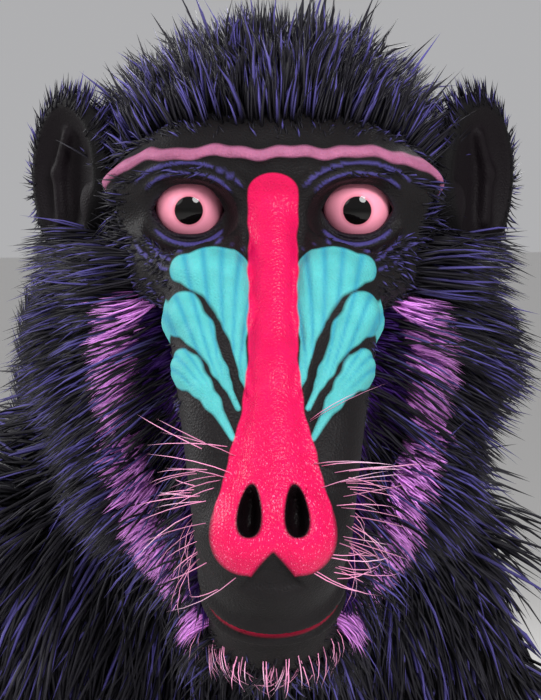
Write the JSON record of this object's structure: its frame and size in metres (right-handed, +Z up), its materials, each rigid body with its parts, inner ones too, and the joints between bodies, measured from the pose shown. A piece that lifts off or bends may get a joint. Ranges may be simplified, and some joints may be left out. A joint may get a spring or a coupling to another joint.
{
  "type": "mandrill",
  "caption": "Life-size still model of an adult male mandrill standing on all fours, head turned and slightly lowered, with ridged face, crest, cheek ruff, mane and short upright tail.",
  "frame": {"origin": "centre of the bounding box in plan, on the floor that the hands and feet stand on", "axes": "+Z up; the animal faces -Y, its left side is at +X and its head is turned 15 degrees towards its right, -X"},
  "size_m": [0.3312, 0.7434, 0.7509],
  "materials": {
    "coat": "long near-black hair grizzled with blue violet",
    "mane": "long dark violet and black hair, with a pale pink band on the cheeks",
    "face_skin": "bare charcoal skin with short hair",
    "nose_skin": "bare moist crimson skin",
    "ridge_skin": "bare grooved turquoise blue skin",
    "brow_skin": "bare mauve pink skin",
    "ear_skin": "thin dark bare skin",
    "eye": "wet, clear cornea over a pinkish amber iris",
    "rump_skin": "bare violet blue skin",
    "pad_skin": "thick pink callous skin",
    "hand_skin": "bare black skin with short hair on the back"
  },
  "bodies": {
    "root": {"head": "coat", "chest": "coat", "loin": "coat", "rump": "coat", "tail": "coat", "upper_arm_left": "coat", "upper_arm_right": "coat", "forearm_left": "coat", "forearm_right": "coat", "thigh_left": "coat", "thigh_right": "coat", "shank_left": "coat", "shank_right": "coat", "neck": "mane", "ruff_left": "mane", "ruff_right": "mane", "jaw": "face_skin", "nose": "nose_skin", "cheek_ridges_left": "ridge_skin", "cheek_ridges_right": "ridge_skin", "brow_band": "brow_skin", "ear_left": "ear_skin", "ear_right": "ear_skin", "eye_left": "eye", "eye_right": "eye", "rump_skin": "rump_skin", "sitting_pad_left": "pad_skin", "sitting_pad_right": "pad_skin", "hand_left": "hand_skin", "hand_right": "hand_skin", "foot_left": "hand_skin", "foot_right": "hand_skin"}
  },
  "joints": []
}
